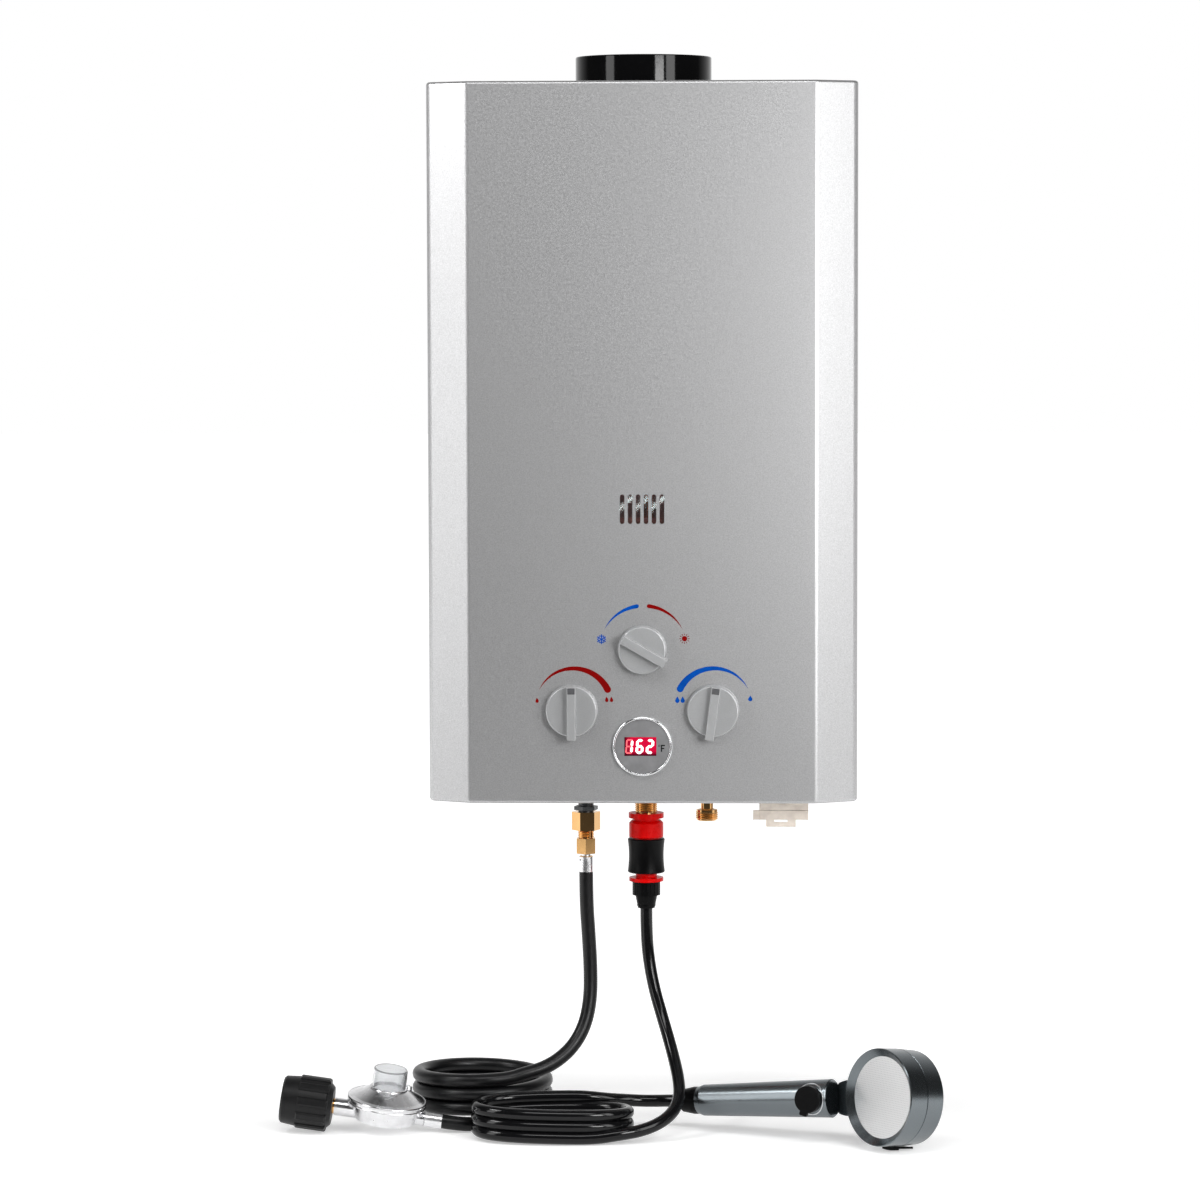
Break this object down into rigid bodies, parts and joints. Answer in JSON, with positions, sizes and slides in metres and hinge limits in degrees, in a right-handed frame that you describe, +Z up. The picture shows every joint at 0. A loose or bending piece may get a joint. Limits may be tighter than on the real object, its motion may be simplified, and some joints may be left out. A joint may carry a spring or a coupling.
{
  "type": "portable propane water heater",
  "caption": "Wall-hung gas water heater with round flue, three knobs, temperature display, gas hose with tank regulator, and a shower hose with handset.",
  "frame": {"origin": "the hanging keyhole's slot end, on the wall plane at the back of the case", "axes": "+Z up, -Y out of the wall towards the user, +X to the right as seen by the user"},
  "size_m": [0.6442, 0.3009, 1.0475],
  "materials": {
    "silver_paint": "satin metallic silver paint, fine sparkle",
    "plated_steel": "zinc-plated steel",
    "black_enamel": "gloss black enamel",
    "pane_glass": "clear tempered glass",
    "bezel_chrome": "polished chrome",
    "display_silver": "satin silver paint",
    "led_red": "dark red display filter",
    "knob_silver": "satin silver plastic",
    "brass_parts": "machined brass",
    "copper": "bare copper sheet and tube",
    "stainless": "bare stainless steel",
    "valve_aluminium": "die-cast aluminium",
    "black_plastic": "satin black plastic",
    "black_pipe": "blackened steel pipe",
    "crimp_chrome": "chromed crimp ferrule",
    "die_cast": "tumbled die-cast alloy",
    "clear_cap": "clear glossy plastic cap",
    "handwheel_black": "moulded black nylon",
    "red_plastic": "gloss red plastic",
    "ivory_plastic": "ivory moulded plastic",
    "battery_can": "plated steel cell can",
    "gas_hose_rubber": "semi-matt black rubber",
    "shower_hose_pvc": "gloss black reinforced PVC",
    "gunmetal": "satin anodised gun-metal grey",
    "spray_steel": "satin steel face"
  },
  "bodies": {
    "heater": {"front_cover": "silver_paint", "back_plate": "plated_steel", "bottom_plate": "silver_paint", "cover_screws": "plated_steel", "flue_collar": "black_enamel", "view_glass": "pane_glass", "display_bezel": "bezel_chrome", "display_unit": "display_silver", "led_window": "led_red", "smoke_hood": "copper", "combustion_shell": "copper", "fin_pack": "copper", "exchanger_pipe": "copper", "hot_pipe": "copper", "cold_pipe": "copper", "burner_set": "stainless", "gas_manifold": "valve_aluminium", "gas_valve": "valve_aluminium", "solenoid": "plated_steel", "water_valve": "brass_parts", "micro_switch": "black_plastic", "igniter_box": "black_plastic", "electrodes": "stainless", "gas_inlet_pipe": "black_pipe", "gas_adapter": "brass_parts", "flare_nut": "brass_parts", "gas_hose_ferrules": "crimp_chrome", "regulator_body": "die_cast", "regulator_bonnet": "die_cast", "regulator_cap": "clear_cap", "regulator_nipple": "brass_parts", "hot_outlet": "brass_parts", "tap_adaptor": "red_plastic", "connector_body": "red_plastic", "hose_nut": "black_plastic", "cold_inlet": "brass_parts", "battery_box": "ivory_plastic", "batteries": "battery_can", "gas_hose_coil": "gas_hose_rubber", "gas_hose_drop": "gas_hose_rubber", "gas_hose_tail": "gas_hose_rubber", "shower_hose_coil": "shower_hose_pvc", "shower_hose_drop": "shower_hose_pvc", "shower_hose_tail": "shower_hose_pvc", "handset_nut": "black_plastic", "handset_handle": "gunmetal", "handset_head": "gunmetal", "spray_plate": "spray_steel"},
    "gas_knob": {"gas_knob": "knob_silver", "gas_spindle": "brass_parts"},
    "water_knob": {"water_knob": "knob_silver", "water_spindle": "brass_parts"},
    "season_knob": {"season_knob": "knob_silver", "season_spindle": "brass_parts"},
    "battery_lid": {"battery_lid": "ivory_plastic"},
    "release_sleeve": {"release_sleeve": "black_plastic"},
    "tank_handwheel": {"tank_handwheel": "handwheel_black"},
    "handset_switch": {"handset_switch": "black_plastic"},
    "mode_lever": {"mode_lever": "black_plastic"},
    "push_rod": {"push_rod": "brass_parts"}
  },
  "joints": [
    {"name": "gas_knob_turn", "type": "hinge", "parent": "heater", "child": "gas_knob", "pos_m": [-0.0683, -0.186, -0.5595], "axis": [0, 1, 0], "range_deg": [-60, 60]},
    {"name": "water_knob_turn", "type": "hinge", "parent": "heater", "child": "water_knob", "pos_m": [0.0683, -0.186, -0.5595], "axis": [0, 1, 0], "range_deg": [-67.5, 52.5]},
    {"name": "season_knob_turn", "type": "hinge", "parent": "heater", "child": "season_knob", "pos_m": [0, -0.186, -0.5005], "axis": [0, 1, 0], "range_deg": [0, 120]},
    {"name": "battery_lid_hinge", "type": "hinge", "parent": "heater", "child": "battery_lid", "pos_m": [0.1374, -0.0285, -0.6657], "axis": [1, 0, 0], "range_deg": [0, 95]},
    {"name": "release_sleeve_slide", "type": "slide", "parent": "heater", "child": "release_sleeve", "axis": [0, 0, -1], "range_m": [0, 0.004], "stiffness_N_per_m": 1500, "springref_m": -0.001},
    {"name": "tank_handwheel_turn", "type": "hinge", "parent": "heater", "child": "tank_handwheel", "pos_m": [-0.197, -0.174, -0.9642], "axis": [0.9903, 0, -0.1389], "continuous": true},
    {"name": "shutoff_turn", "type": "hinge", "parent": "heater", "child": "handset_switch", "pos_m": [0.16862, -0.2153, -0.93221], "axis": [0.4453, 0.8871, -0.1213], "range_deg": [0, 90]},
    {"name": "spray_mode_turn", "type": "hinge", "parent": "heater", "child": "mode_lever", "pos_m": [0.24252, -0.25127, -0.92395], "axis": [-0.7571, -0.6421, 0.12], "range_deg": [0, 24]},
    {"name": "push_rod_slide", "type": "slide", "parent": "heater", "child": "push_rod", "axis": [-1, 0, 0], "range_m": [0, 0.004], "stiffness_N_per_m": 300, "springref_m": -0.001}
  ]
}
